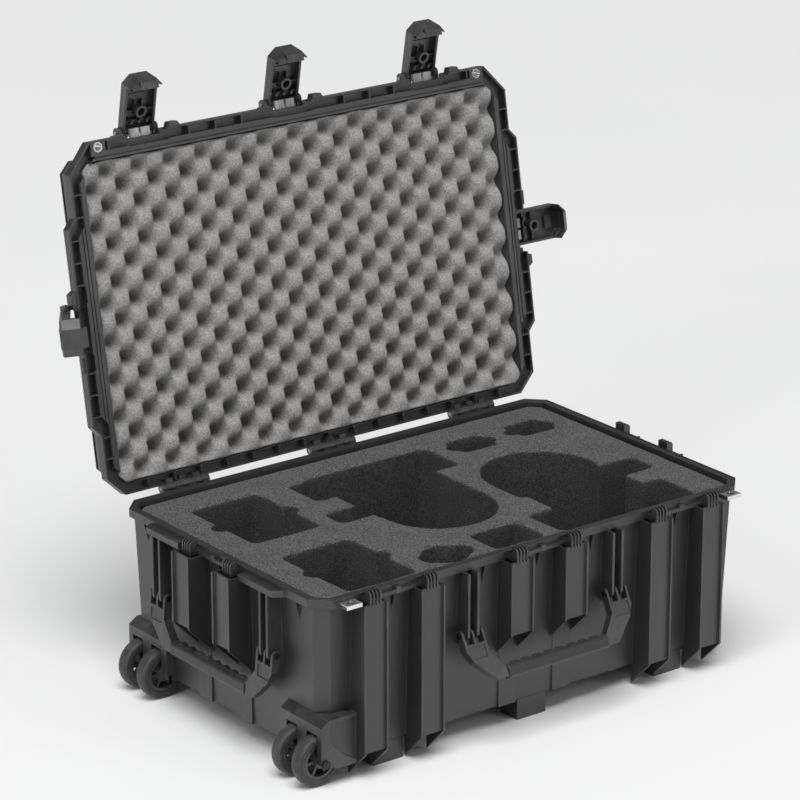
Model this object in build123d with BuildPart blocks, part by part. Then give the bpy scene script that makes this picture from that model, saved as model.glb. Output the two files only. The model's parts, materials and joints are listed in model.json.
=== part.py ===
"""Wheeled hard equipment case with a hinged lid, cut base foam and egg-crate lid foam.

Everything is modelled with the lid closed, the case centred on its rim and the
floor at z = 0.  The lid and what rides on it are then swung open, the latches
and handles are turned to the angle they rest at, and the whole case is moved
so that the origin is the middle of its footprint.
"""
import math
import os

from build123d import *

os.makedirs("parts", exist_ok=True)

# ---------------------------------------------------------------- driving sizes (mm)
rim_length = 750.0          # outside of the base rim along X
rim_width = 467.5           # outside of the base rim along Y
rim_height = 264.0          # top of the base rim above the floor
rim_corner = 24.0           # corner cut of the rim
rim_thickness = 12.0        # height of the base rim flange
wall = 4.0                  # moulded wall
rim_edge = 2.2              # raised outer edge of the rim
channel_width = 4.4         # seal channel behind that edge
channel_depth = 4.0
gasket_height = 3.2
rim_overhang = 8.5          # how far the rim stands out from the tub wall
tub_corner = 15.7           # corner cut of the tub
tub_taper = 7.0             # how much each tub wall leans in over its height
floor_gap = 28.0            # underside of the tub above the floor

rib_pitch = 95.0            # centre to centre of the two ribs of a pair
pad_width = 34.0            # recessed face of a rib
fin_width = 3.0             # each side wall of a rib
fin_proud = 3.6             # how far the side walls stand in front of the face
front_rib_depth = 28.5      # rib front beyond the tub wall, long sides
end_rib_depth = 35.5        # rib front beyond the tub wall, ends
back_rib_depth = 15.0       # rib front beyond the tub wall, hinge side
latch_spacing = 248.0       # centre to centre of the front latches
long_rib_bottom = 40.0      # lower end of the faces that run down to the feet
short_rib_bottom = 146.0    # lower end of the faces above the handles
foot_width = 50.0
foot_depth = 36.0

comb_width = 19.0
comb_teeth = 4
comb_tooth = 2.4
comb_height = 6.5           # teeth above the rim
front_comb_reach = 27.0     # front of the teeth beyond the tub wall, long sides
end_comb_reach = 24.5       # the same on the ends
comb_depth = 11.5

rail_offset = 126.6         # middle of a handle bracket from the station centre
rail_width = 4.0
rail_gap = 12.0
rail_reach = 21.5           # rail front beyond the tub wall
pivot_radius = 8.0          # round end of the rail and of the handle prongs
handle_pivot_height = 163.0
handle_drop = 71.0          # pivot to the lower edge of the handle bar
handle_thickness = 13.0
grip_height = 19.0
grip_length = 176.0
finger_bumps = 8
bump_pitch = 20.0
bump_radius = 8.5
grip_notches = 14
notch_pitch = 11.5
pin_radius = 2.5
pin_clearance = 0.05        # radial, between a pin and what turns on it
slide_clearance = 0.4       # between pieces that move past each other
front_handle_tilt = 27.0    # resting angle from hanging straight down
side_handle_tilt = 5.0

hinge_setback = 11.9        # hinge line behind the back of the rim
hinge_rolls = 7
hinge_roll_length = 11.0
hinge_roll_radius = 6.5
hinge_spacing = 258.0
lid_open_angle = 100.0

lid_gap = 0.5               # between the two rims when closed
lid_depth = 62.0            # lid height above the rim
lid_flange = 16.0           # height of the lid flange
lid_overhang = 7.6          # lid flange beyond the base rim
lid_front_overhang = 21.0   # the deeper front flange that carries the latches
lid_end_step = 12.4         # wider middle of the lid ends
cell_depth = 11.0           # open cells in the underside of the lid flange
cell_wall = 2.2
cell_band = 12.0            # width of the band of cells
cell_pitch_long = 45.0      # dividers along the front and back
cell_pitch_end = 31.0       # dividers along the ends

latch_width = 52.0
latch_length = 90.0         # pivot to the free end
latch_plate = 4.0
hook_depth = 20.0           # hooked lip beyond the side walls
latch_pivot_drop = 32.0     # latch pivot above the rim
latch_pivot_out = 30.75     # latch pivot beyond the tub wall
front_latch_open = 70.0     # resting angle from the closed position
right_latch_open = 88.0
left_latch_open = 33.0

wheel_radius = 36.4
wheel_width = 21.2
wheel_pitch = 45.0
tyre_room = 6.26            # tyre to the inner wall of its well
well_clear = 0.3            # wheel housing to the shell round it
axle_setback = 7.0          # axle line behind the face of its housing
axle_radius = 4.0
housing_height = 98.0
cheek_length = 10.0         # the outer cheek of the front housing runs on this far beside the tub
front_wheels_y = -194.2     # middle of the front pair of wheels
back_wheels_y = 172.8       # middle of the back pair of wheels

tube_radius = 8.0
tube_pitch = 150.0
tube_length = 470.0

plate_x = 332.0             # padlock plates and the eyelets above them
plate_hole = 5.0
plate_thickness = 1.6
bracket_thickness = 4.0     # shelf of the shell under a padlock plate

foam_top_drop = 6.0         # foam surface below the rim
foam_gap = 1.0              # foam to the moulded walls
floor_pad_height = 30.0

# ---------------------------------------------------------------- derived sizes
rim_x = rim_length / 2
rim_y = rim_width / 2
rim_bottom = rim_height - rim_thickness
tub_x = rim_x - rim_overhang
tub_y = rim_y - rim_overhang
tub_height = rim_bottom - floor_gap
inner_floor = floor_gap + wall
hinge_y = rim_y + hinge_setback
hinge_z = rim_height + lid_gap / 2
lid_bottom = rim_height + lid_gap
lid_top = lid_bottom + lid_depth
lid_front = -(rim_y + lid_front_overhang)
lid_back = rim_y + lid_overhang
lid_side = rim_x + lid_overhang
lid_wide = lid_side + lid_end_step
foam_top = rim_height - foam_top_drop
plate_z = rim_height - 4.5
plate_hole_y = -rim_y - 12.5
rib_width = pad_width + 2 * fin_width
front_wall = -tub_y
axle_z = wheel_radius
housing_inner_x = -(latch_spacing + (rib_pitch + rib_width) / 2) - slide_clearance
well_edge_x = housing_inner_x - cheek_length + well_clear
axle_x = well_edge_x - tyre_room - wheel_radius
housing_face_x = axle_x - axle_setback
latch_pivot_z = rim_height + latch_pivot_drop


def wall_at(face, z):
    """Distance of the leaning tub wall from the middle of the case at height z."""
    return face - tub_taper * (rim_bottom - z) / tub_height


# ---------------------------------------------------------------- outline helpers
def cut_corner_rectangle(half_x, half_y, corner):
    """A rectangle with 45 degree corners, drawn in the sketch that is open."""
    with BuildLine() as outline:
        Polyline(
            (half_x - corner, -half_y),
            (half_x, -half_y + corner),
            (half_x, half_y - corner),
            (half_x - corner, half_y),
            (-half_x + corner, half_y),
            (-half_x, half_y - corner),
            (-half_x, -half_y + corner),
            (-half_x + corner, -half_y),
            close=True,
        )
    make_face(outline.edges())


def rim_outline(inset):
    """The rim outline pulled in evenly, corner cuts included."""
    cut_corner_rectangle(rim_x - inset, rim_y - inset, rim_corner - inset * (2 - math.sqrt(2)))


def lid_outline(inset):
    """The lid flange: deep front edge, wide middle of the ends, cut corners."""
    side = lid_side - inset
    wide = lid_wide - inset
    front = lid_front + inset
    back = lid_back - inset
    half = [
        (0, front),
        (side - 35.6, front),
        (side, front + 40),
        (side, -155 + inset),
        (wide, -141 + inset),
        (wide, 138 - inset),
        (side, 152 - inset),
        (side, back - 27.5),
        (side - 27.5, back),
        (0, back),
    ]
    mirrored = [(-x, y) for x, y in reversed(half[1:-1])]
    with BuildLine() as outline:
        Polyline(*half, *mirrored, close=True)
    make_face(outline.edges())


def block(x0, x1, y0, y1, z0, z1, mode=Mode.ADD):
    """A plain block between two corners, in the part that is open."""
    with Locations(((x0 + x1) / 2, (y0 + y1) / 2, (z0 + z1) / 2)):
        Box(x1 - x0, y1 - y0, z1 - z0, mode=mode)


def side_profile(points, x, width, mode=Mode.ADD):
    """Extrude an outline given as (y, z) points along X, centred on x."""
    with BuildSketch(Plane.YZ.offset(x - width / 2)) as profile:
        with BuildLine():
            Polyline(*points, close=True)
        make_face()
    extrude(profile.sketch, amount=width, mode=mode)


def bar_along_x(y, z, radius, x0, x1, mode=Mode.ADD):
    """A round bar (or a bore) along X, in the part that is open."""
    with BuildSketch(Plane.YZ.offset(x0)) as circle:
        with Locations((y, z)):
            Circle(radius)
    extrude(circle.sketch, amount=x1 - x0, mode=mode)


# ---------------------------------------------------------------- stations
# A station is a place on the rim where ribs, combs, latches or handles sit.
# In its frame X runs along the wall, -Y points outwards, and the origin is on
# the middle of the case at floor level.
front_frame = Plane(origin=(0, 0, 0), x_dir=(1, 0, 0), z_dir=(0, 0, 1))
right_frame = Plane(origin=(0, 0, 0), x_dir=(0, 1, 0), z_dir=(0, 0, 1))
back_frame = Plane(origin=(0, 0, 0), x_dir=(-1, 0, 0), z_dir=(0, 0, 1))
left_frame = Plane(origin=(0, 0, 0), x_dir=(0, -1, 0), z_dir=(0, 0, 1))


def rib(x, face, depth, bottom, lean=True):
    """One U-shaped rib: a recessed face between two side walls cut at 45 degrees."""
    tip = -(face + depth)
    pad = tip + fin_proud
    root = -(face - tub_taper - wall / 2)
    foot = bottom - (root - tip) if lean else bottom
    for side in (-1, 1):
        fin_x = x + side * (pad_width + fin_width) / 2
        outline = [(root, rim_bottom), (tip, rim_bottom), (tip, bottom), (root, foot)]
        side_profile(outline, fin_x, fin_width)
    block(x - pad_width / 2, x + pad_width / 2, pad, pad + 3.0, bottom, rim_bottom)


def comb(x, face, reach):
    """Upright teeth in front of the rim that find their way into the cells of the lid."""
    out = -(face + reach)
    back = out + comb_depth
    step = (comb_width - comb_tooth) / (comb_teeth - 1)
    top = rim_height + comb_height
    for tooth in range(comb_teeth):
        tooth_x = x - comb_width / 2 + comb_tooth / 2 + tooth * step
        low = rim_bottom - 2
        outline = [(back, low), (out, low), (out, top - 3), (out + 3, top), (back, top)]
        side_profile(outline, tooth_x, comb_tooth)
    block(x - comb_width / 2, x + comb_width / 2, out + 2, -face, rim_bottom - 2, rim_height - 4)


def catch_bar(x, face):
    """The bar that the latch hook pulls against, with a small middle nub."""
    reach = rib_pitch / 2 - comb_width / 2 + 1
    block(x - reach, x + reach, -(face + 14.0), -(face + 7.0), rim_bottom, rim_bottom + 5.5)
    block(x - 4, x + 4, -(face + 14.5), -(face + 9.0), rim_bottom, rim_bottom + 9.0)


def gusset(x, face):
    """A small pointed stiffener under the rim."""
    side_profile(
        [(-(face - 3), rim_bottom), (-(face + 7), rim_bottom), (-(face - 3), rim_bottom - 36)],
        x,
        2.4,
    )


def handle_rails(face):
    """Two brackets of two rails each, with round lower ends and a bore for the pin."""
    front = -(face + rail_reach)
    pivot_y = front + pivot_radius
    root = -(face - tub_taper - wall / 2)
    for side in (-1, 1):
        for rail in (-1, 1):
            x = side * rail_offset + rail * (rail_gap + rail_width) / 2
            block(x - rail_width / 2, x + rail_width / 2, front, root, handle_pivot_height, rim_bottom)
            outline = [
                (pivot_y, handle_pivot_height),
                (pivot_y, handle_pivot_height - pivot_radius),
                (root, handle_pivot_height - pivot_radius - 14),
                (root, handle_pivot_height),
            ]
            side_profile(outline, x, rail_width)
            bar_along_x(pivot_y, handle_pivot_height, pivot_radius, x - rail_width / 2, x + rail_width / 2)


def rail_bores(face):
    """The pin holes through the handle brackets."""
    pivot_y = -(face + rail_reach) + pivot_radius
    for side in (-1, 1):
        x = side * rail_offset
        bar_along_x(
            pivot_y,
            handle_pivot_height,
            pin_radius,
            x - 2 * rail_gap,
            x + 2 * rail_gap,
            Mode.SUBTRACT,
        )


# ---------------------------------------------------------------- features of the four sides
with BuildPart() as front_features:
    for station in (-latch_spacing, latch_spacing):
        for side in (-1, 1):
            rib(station + side * rib_pitch / 2, tub_y, front_rib_depth, long_rib_bottom)
        block(
            station - foot_width / 2,
            station + foot_width / 2,
            front_wall + 9,
            front_wall + 9 + foot_depth,
            0,
            inner_floor,
        )
    for side in (-1, 1):
        rib(side * rib_pitch / 2, tub_y, front_rib_depth, short_rib_bottom)
    block(-foot_width / 2, foot_width / 2, front_wall + 9, front_wall + 9 + foot_depth, 0, inner_floor)
    for station in (-latch_spacing, 0, latch_spacing):
        for side in (-1, 1):
            comb(station + side * rib_pitch / 2, tub_y, front_comb_reach)
        catch_bar(station, tub_y)
        gusset(station, tub_y)
    for side in (-1, 1):
        gusset(side * 95, tub_y)
        block(
            side * plate_x - 13,
            side * plate_x + 13,
            -rim_y - 20,
            -rim_y + 2,
            plate_z - bracket_thickness,
            plate_z,
        )
    handle_rails(tub_y)

with BuildPart() as end_features:
    for side in (-1, 1):
        rib(side * rib_pitch / 2, tub_x, end_rib_depth, short_rib_bottom + 2)
        comb(side * rib_pitch / 2, tub_x, end_comb_reach)
    catch_bar(0, tub_x)
    gusset(0, tub_x)
    for side in (-1, 1):
        gusset(side * 178, tub_x)

with BuildPart() as end_rails:
    handle_rails(tub_x)
    with BuildSketch(Plane.XY.offset(rim_bottom - 2)):
        with BuildLine():
            Polyline(
                (-162, -tub_x + 2),
                (-148, -tub_x - 22),
                (148, -tub_x - 22),
                (162, -tub_x + 2),
                close=True,
            )
        make_face()
    extrude(amount=9.0)
    block(-70, 70, -tub_x - 30, -rim_x, rim_bottom - 3, rim_bottom + 8, mode=Mode.SUBTRACT)

with BuildPart() as back_features:
    for station in (-hinge_spacing, 0, hinge_spacing):
        for side in (-1, 1):
            rib(station + side * rib_pitch / 2, tub_y, back_rib_depth, long_rib_bottom + 10)
    for station in (0, hinge_spacing):
        block(
            -station - foot_width / 2,
            -station + foot_width / 2,
            front_wall + 9,
            front_wall + 9 + foot_depth,
            0,
            inner_floor,
        )

# ---------------------------------------------------------------- wheel wells
housing_out = 44.0          # outer face of a housing beyond the middle of its wheels
housing_in = 48.0           # inner face the other way
well_front = (front_wheels_y - housing_out, front_wheels_y + housing_in)
well_back = (back_wheels_y - housing_in, back_wheels_y + housing_out)


def well_blocks(grow, mode):
    """The two lower corners of the tub that the wheel housings fill."""
    edge_x = well_edge_x + grow
    top = housing_height + well_clear + grow
    block(-rim_x - 40, edge_x, -rim_y - 40, well_front[1] + well_clear + grow, -20, top, mode=mode)
    block(-rim_x - 40, edge_x, well_back[0] - well_clear - grow, rim_y + 40, -20, top, mode=mode)


# ---------------------------------------------------------------- base shell
def tub_loft(inset, top, bottom):
    """The leaning tub outline between two heights, pulled in by inset."""
    rings = []
    for height in (top, bottom):
        with BuildSketch(Plane.XY.offset(height)) as ring:
            cut_corner_rectangle(wall_at(tub_x, height) - inset, wall_at(tub_y, height) - inset, tub_corner)
        rings.append(ring.sketch)
    loft(rings, ruled=True)


with BuildPart() as tub_cavity:
    tub_loft(wall, rim_height + 1, inner_floor)
    well_blocks(wall, Mode.SUBTRACT)

tube_y = (-tube_pitch / 2, tube_pitch / 2)
tube_z = 15.0

with BuildPart() as base_shell:
    tub_loft(0, rim_bottom, floor_gap)
    chamfer(base_shell.faces().sort_by(Axis.Z)[0].edges(), length=5.0)
    with BuildSketch(Plane.XY.offset(rim_bottom)):
        rim_outline(0)
    extrude(amount=rim_thickness)
    with BuildSketch(Plane.XY.offset(rim_height - channel_depth)) as channel:
        rim_outline(rim_edge)
    with BuildSketch(Plane.XY.offset(rim_height - channel_depth)) as ridge:
        rim_outline(rim_edge + channel_width)
    extrude(channel.sketch, amount=channel_depth, mode=Mode.SUBTRACT)
    extrude(ridge.sketch, amount=channel_depth - 0.6)
    add(front_frame.location * front_features.part)
    add(left_frame.location * end_features.part)
    add(right_frame.location * end_features.part)
    add(left_frame.location * end_rails.part)
    add(back_frame.location * back_features.part)
    # base half of each hinge: every other roll, on a short web
    for station in (-hinge_spacing, 0, hinge_spacing):
        for roll in range(0, hinge_rolls, 2):
            x = station + (roll - (hinge_rolls - 1) / 2) * (hinge_roll_length + slide_clearance)
            left = x - hinge_roll_length / 2
            block(
                left,
                left + hinge_roll_length,
                rim_y - 2,
                hinge_y,
                hinge_z - hinge_roll_radius,
                hinge_z - 1.5,
            )
            bar_along_x(hinge_y, hinge_z, hinge_roll_radius, left, left + hinge_roll_length)
    for station in (-hinge_spacing, 0, hinge_spacing):
        bar_along_x(hinge_y, hinge_z, pin_radius, station - 60, station + 60, Mode.SUBTRACT)
    # raised strips that carry the lines of the short ribs down to the floor
    for side in (-1, 1):
        x = side * rib_pitch / 2
        block(x - 15, x + 15, -wall_at(tub_y, 80) - 1.5, front_wall + 12, floor_gap + 3, 140)
        block(-wall_at(tub_x, 80) - 1.5, -tub_x + 12, x - 15, x + 15, floor_gap + 3, 140)
    add(tub_cavity.part, mode=Mode.SUBTRACT)
    well_blocks(0, Mode.SUBTRACT)
    rail_bores(tub_y)
    # pin holes of the end handle, and seats of the padlock plates
    for side in (-1, 1):
        rail_x = -(tub_x + rail_reach) + pivot_radius
        with Locations(Pos(rail_x, side * rail_offset, handle_pivot_height) * Rot(90, 0, 0)):
            Cylinder(pin_radius, 4 * rail_gap, mode=Mode.SUBTRACT)
        with Locations((side * plate_x, plate_hole_y, rim_height - 15)):
            Cylinder(plate_hole + 0.3, 40, mode=Mode.SUBTRACT)

# ---------------------------------------------------------------- small fixed pieces of the base
with BuildPart() as padlock_plate:
    block(-12.5, 12.5, -rim_y - 20, -rim_y - 1, plate_z, plate_z + plate_thickness)
    block(-12.5, 12.5, -rim_y - 20 - plate_thickness, -rim_y - 20, plate_z - 4, plate_z + plate_thickness)
    with Locations((0, plate_hole_y, plate_z)):
        Cylinder(plate_hole, 10, mode=Mode.SUBTRACT)

with BuildPart() as gasket:
    with BuildSketch(Plane.XY.offset(rim_height - channel_depth)) as gasket_outside:
        rim_outline(rim_edge + slide_clearance)
    with BuildSketch(Plane.XY.offset(rim_height - channel_depth)) as gasket_inside:
        rim_outline(rim_edge + channel_width - slide_clearance)
    extrude(gasket_outside.sketch, amount=gasket_height)
    extrude(gasket_inside.sketch, amount=gasket_height, mode=Mode.SUBTRACT)

with BuildPart() as floor_pad:
    tub_loft(wall + foam_gap, inner_floor + floor_pad_height, inner_floor)
    well_blocks(wall + foam_gap, Mode.SUBTRACT)


# ---------------------------------------------------------------- base foam with its pockets
def pocket(depth, rectangles=(), circles=(), slots=()):
    """Cut one pocket; the shapes that make up its outline overlap each other."""
    with BuildSketch(Plane.XY.offset(foam_top - depth)) as outline:
        for x0, x1, y0, y1 in rectangles:
            with Locations(((x0 + x1) / 2, (y0 + y1) / 2)):
                RectangleRounded(x1 - x0, y1 - y0, 9)
        for x, y, radius in circles:
            with Locations((x, y)):
                Circle(radius)
        for x0, x1, y0, y1 in slots:
            with Locations(((x0 + x1) / 2, (y0 + y1) / 2)):
                SlotOverall(x1 - x0, y1 - y0)
    extrude(outline.sketch, amount=depth + 1, mode=Mode.SUBTRACT)


deep = 150.0
middling = 90.0
shallow = 64.0
foam_bottom = inner_floor + floor_pad_height

with BuildPart() as base_foam:
    tub_loft(wall + foam_gap, foam_top, foam_bottom)
    well_blocks(wall + foam_gap, Mode.SUBTRACT)
    # two long bays on the wheel side, each with a finger slot across it
    pocket(deep, rectangles=[(-303, -190, 10, 166)])
    pocket(shallow, slots=[(-318, -176, 74, 102)])
    pocket(deep, rectangles=[(-304, -190, -205, -51)])
    pocket(shallow, slots=[(-317, -178, -139, -109)])
    # the stepped middle bay with its round front
    pocket(
        deep,
        rectangles=[(-106, 66, -20, 170), (50, 112, 87, 170), (-139, -90, 90, 163), (-162, -90, 0, 44)],
        circles=[(-18, -26, 85)],
    )
    # two small bays with finger slots
    pocket(middling, rectangles=[(147, 210, 120, 170)])
    pocket(shallow, slots=[(136, 222, 134, 156)])
    pocket(middling, rectangles=[(258, 322, 122, 173)])
    pocket(shallow, slots=[(244, 333, 136, 157)])
    # the large stepped bay with its round back
    pocket(
        deep,
        rectangles=[
            (95, 190, -74, -10),
            (107, 247, -207, -30),
            (60, 303, -207, -130),
            (200, 270, -150, -84),
            (230, 327, -90, -40),
        ],
        circles=[(184, -10, 87)],
    )
    pocket(middling, rectangles=[(-54, 31, -205, -142)])
    pocket(shallow, circles=[(-120, -175, 32)], slots=[(-160, -76, -193, -157)])

# ---------------------------------------------------------------- lid
dome_x = tub_x
dome_y = tub_y + 7.5
dome_taper = 7.0
dome_base = lid_bottom + lid_flange - 2
cavity_x = 360.0
cavity_y = 227.5
ear_gap = 1.0
ear_width = 6.0
ear_radius = 7.0
ear_centre = latch_width / 2 + ear_gap + ear_width / 2
ear_inner = latch_width / 2 + ear_gap
notch_step = lid_bottom + 11.5     # the flange is deeper below this, for the lever's boss
web_top = latch_pivot_z - 8.0      # top of the web that closes the gap behind the lever
bridge_in = 8.8                    # face of that web behind the pivot line
bridge_y = -(tub_y + latch_pivot_out) + bridge_in
pivot_front_y = -(tub_y + latch_pivot_out)


def lid_station(face, width_scale):
    """What the lid carries above a latch: two ears, and a stiffening block on either side."""
    pivot = -(tub_y if face == dome_y else tub_x) - latch_pivot_out
    for side in (-1, 1):
        x = side * ear_centre
        block(
            x - ear_width / 2,
            x + ear_width / 2,
            pivot,
            -face + 8,
            latch_pivot_z - ear_radius,
            latch_pivot_z + ear_radius,
        )
        bar_along_x(pivot, latch_pivot_z, ear_radius, x - ear_width / 2, x + ear_width / 2)
        inner = side * rib_pitch / 2
        root = -face + 6
        tip = -face - 11
        outline = [(root, dome_base), (tip, dome_base), (tip, lid_top - 24), (root, lid_top - 8)]
        side_profile(outline, inner * width_scale, 22)
    bar_along_x(pivot, latch_pivot_z, pin_radius, -ear_centre - 20, ear_centre + 20, Mode.SUBTRACT)
    edge = pivot + 1.5
    with BuildSketch(Plane.XY.offset(lid_bottom + 1.5)) as guard:
        with BuildLine():
            Polyline((34, edge + 4), (38, edge - 7), (51, edge - 7), (58, edge + 4), close=True)
        make_face()
    extrude(guard.sketch, amount=lid_flange - 3)
    block(-60, -39, edge - 3, edge + 3, lid_bottom + 1.5, lid_bottom + 3.5)


with BuildPart() as front_lid_features:
    lid_station(dome_y, 1.0)
with BuildPart() as end_lid_features:
    lid_station(dome_x, 1.0)

with BuildPart() as lid_cells:
    with BuildSketch(Plane.XY.offset(lid_bottom - 1)) as cell_plan:
        lid_outline(2.4)
        with BuildSketch(mode=Mode.SUBTRACT):
            lid_outline(2.4 + cell_band)
        with GridLocations(cell_pitch_long, 1, 15, 1):
            Rectangle(cell_wall, 600, mode=Mode.SUBTRACT)
        with GridLocations(2 * lid_side, cell_pitch_end, 2, 13):
            Rectangle(60, cell_wall, mode=Mode.SUBTRACT)
        with Locations((-plate_x, plate_hole_y), (plate_x, plate_hole_y)):
            Rectangle(24, 24, mode=Mode.SUBTRACT)
        for station in (-latch_spacing, 0, latch_spacing):
            for side in (-1, 1):
                with Locations((station + side * rib_pitch / 2, -tub_y - front_comb_reach + comb_depth / 2)):
                    Rectangle(comb_width + 3, comb_depth + 0.9)
        for side in (-1, 1):
            for end in (-1, 1):
                with Locations((end * (tub_x + end_comb_reach - comb_depth / 2), side * rib_pitch / 2)):
                    Rectangle(comb_depth + 2.0, comb_width + 3)
    extrude(amount=cell_depth + 1)

with BuildPart() as lid_shell:
    with BuildSketch(Plane.XY.offset(lid_bottom)):
        lid_outline(0)
    extrude(amount=lid_flange)
    chamfer(lid_shell.faces().sort_by(Axis.Z)[-1].edges(), length=2.0)
    with BuildSketch(Plane.XY.offset(dome_base)) as dome_foot:
        cut_corner_rectangle(dome_x, dome_y, tub_corner)
    with BuildSketch(Plane.XY.offset(lid_top)) as dome_crown:
        cut_corner_rectangle(dome_x - dome_taper, dome_y - dome_taper, tub_corner)
    loft([dome_foot.sketch, dome_crown.sketch], ruled=True)
    chamfer(lid_shell.faces().sort_by(Axis.Z)[-1].edges(), length=5.0)
    with BuildSketch(Plane.XY.offset(lid_top)):
        cut_corner_rectangle(dome_x - 60, dome_y - 55, 20)
        cut_corner_rectangle(dome_x - 72, dome_y - 67, 16, )
    extrude(amount=2.0)
    for station in (-latch_spacing, 0, latch_spacing):
        add(Pos(station, 0, 0) * front_lid_features.part)
    add(left_frame.location * end_lid_features.part)
    add(right_frame.location * end_lid_features.part)
    # the flange is cut away where a latch passes
    for station in (-latch_spacing, 0, latch_spacing):
        block(station - 32, station + 32, -400, -rim_y - 5, lid_bottom - 1, notch_step, Mode.SUBTRACT)
        block(station - ear_inner, station + ear_inner, -400, bridge_y, notch_step, web_top, Mode.SUBTRACT)
        block(station - ear_inner, station + ear_inner, bridge_y, -dome_y + 8, notch_step, web_top)
    for end in (-1, 1):
        outside = end * (rim_x + 25)
        block(outside - 20, outside + 20, -32, 32, lid_bottom - 1, notch_step, Mode.SUBTRACT)
        bridge = end * (tub_x + latch_pivot_out - bridge_in)
        block(
            min(bridge, end * 430),
            max(bridge, end * 430),
            -ear_inner,
            ear_inner,
            notch_step,
            web_top,
            Mode.SUBTRACT,
        )
        root = end * (dome_x - 8)
        block(min(bridge, root), max(bridge, root), -ear_inner, ear_inner, notch_step, web_top)
    with BuildSketch(Plane.XY.offset(lid_bottom - 1)) as cavity_foot:
        cut_corner_rectangle(cavity_x, cavity_y, tub_corner)
    with BuildSketch(Plane.XY.offset(lid_top - wall)) as cavity_crown:
        cut_corner_rectangle(cavity_x - dome_taper, cavity_y - dome_taper, tub_corner)
    loft([cavity_foot.sketch, cavity_crown.sketch], ruled=True, mode=Mode.SUBTRACT)
    add(lid_cells.part, mode=Mode.SUBTRACT)
    # two fine grooves where the lid meets the seal
    for outside in (rim_edge - 1.2, rim_edge + channel_width - 0.4):
        with BuildSketch(Plane.XY.offset(lid_bottom)) as groove_outside:
            rim_outline(outside)
        with BuildSketch(Plane.XY.offset(lid_bottom)) as groove_inside:
            rim_outline(outside + 1.6)
        extrude(groove_outside.sketch - groove_inside.sketch, amount=1.6, mode=Mode.SUBTRACT)
    for side in (-1, 1):
        with Locations((side * plate_x, plate_hole_y, lid_bottom)):
            Cylinder(plate_hole + 2.2, 100, mode=Mode.SUBTRACT)
    # hinge: clearances for the rolls of the base, then the rolls of the lid
    for station in (-hinge_spacing, 0, hinge_spacing):
        half = hinge_rolls / 2 * (hinge_roll_length + slide_clearance) + 0.4
        bar_along_x(
            hinge_y, hinge_z, hinge_roll_radius + 0.7, station - half, station + half, Mode.SUBTRACT
        )
        for roll in range(1, hinge_rolls, 2):
            roll_pitch = hinge_roll_length + slide_clearance
            left = station + (roll - hinge_rolls / 2) * roll_pitch + slide_clearance / 2
            block(
                left,
                left + hinge_roll_length,
                rim_y + 1,
                hinge_y,
                hinge_z + 1.5,
                hinge_z + hinge_roll_radius,
            )
            bar_along_x(hinge_y, hinge_z, hinge_roll_radius, left, left + hinge_roll_length)
        bar_along_x(hinge_y, hinge_z, pin_radius + pin_clearance, station - 60, station + 60, Mode.SUBTRACT)

with BuildPart() as lid_foam:
    with BuildSketch(Plane.XY.offset(lid_bottom + 2.0)) as foam_foot:
        cut_corner_rectangle(cavity_x - foam_gap, cavity_y - foam_gap, tub_corner)
    with BuildSketch(Plane.XY.offset(lid_top - wall)) as foam_crown:
        cut_corner_rectangle(cavity_x - dome_taper - foam_gap, cavity_y - dome_taper - foam_gap, tub_corner)
    loft([foam_foot.sketch, foam_crown.sketch], ruled=True)

with BuildPart() as eyelet:
    with Locations((0, plate_hole_y, lid_bottom + lid_flange / 2)):
        Cylinder(plate_hole + 2.2, lid_flange)
        Cylinder(plate_hole, lid_flange, mode=Mode.SUBTRACT)

hinge_pin_length = hinge_rolls * (hinge_roll_length + slide_clearance)
with BuildPart() as hinge_pin:
    bar_along_x(hinge_y, hinge_z, pin_radius, -hinge_pin_length / 2, hinge_pin_length / 2)

# ---------------------------------------------------------------- latch, closed, pivot at the origin
latch_front = -8.0
wall_edge = 7.0
free_end = -(latch_length - 6.0)
lever_top = 8.0
lever_corner = 12.0
latch_wall = 3.6
hood_depth = 14.0
lip_height = 11.0
window_half = 14.0
window_low = free_end + 10
window_high = window_low + 20
boss_z = -31.0


def lever_outline(inset):
    """Straight sides and an octagonal free end, pulled in by inset."""
    half = latch_width / 2 - inset
    low = free_end + inset
    cut = lever_corner - inset * (2 - math.sqrt(2))
    with BuildLine() as outline:
        Polyline(
            (-half, lever_top),
            (half, lever_top),
            (half, low + cut),
            (half - cut, low),
            (-half + cut, low),
            (-half, low + cut),
            close=True,
        )
    make_face(outline.edges())


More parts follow.
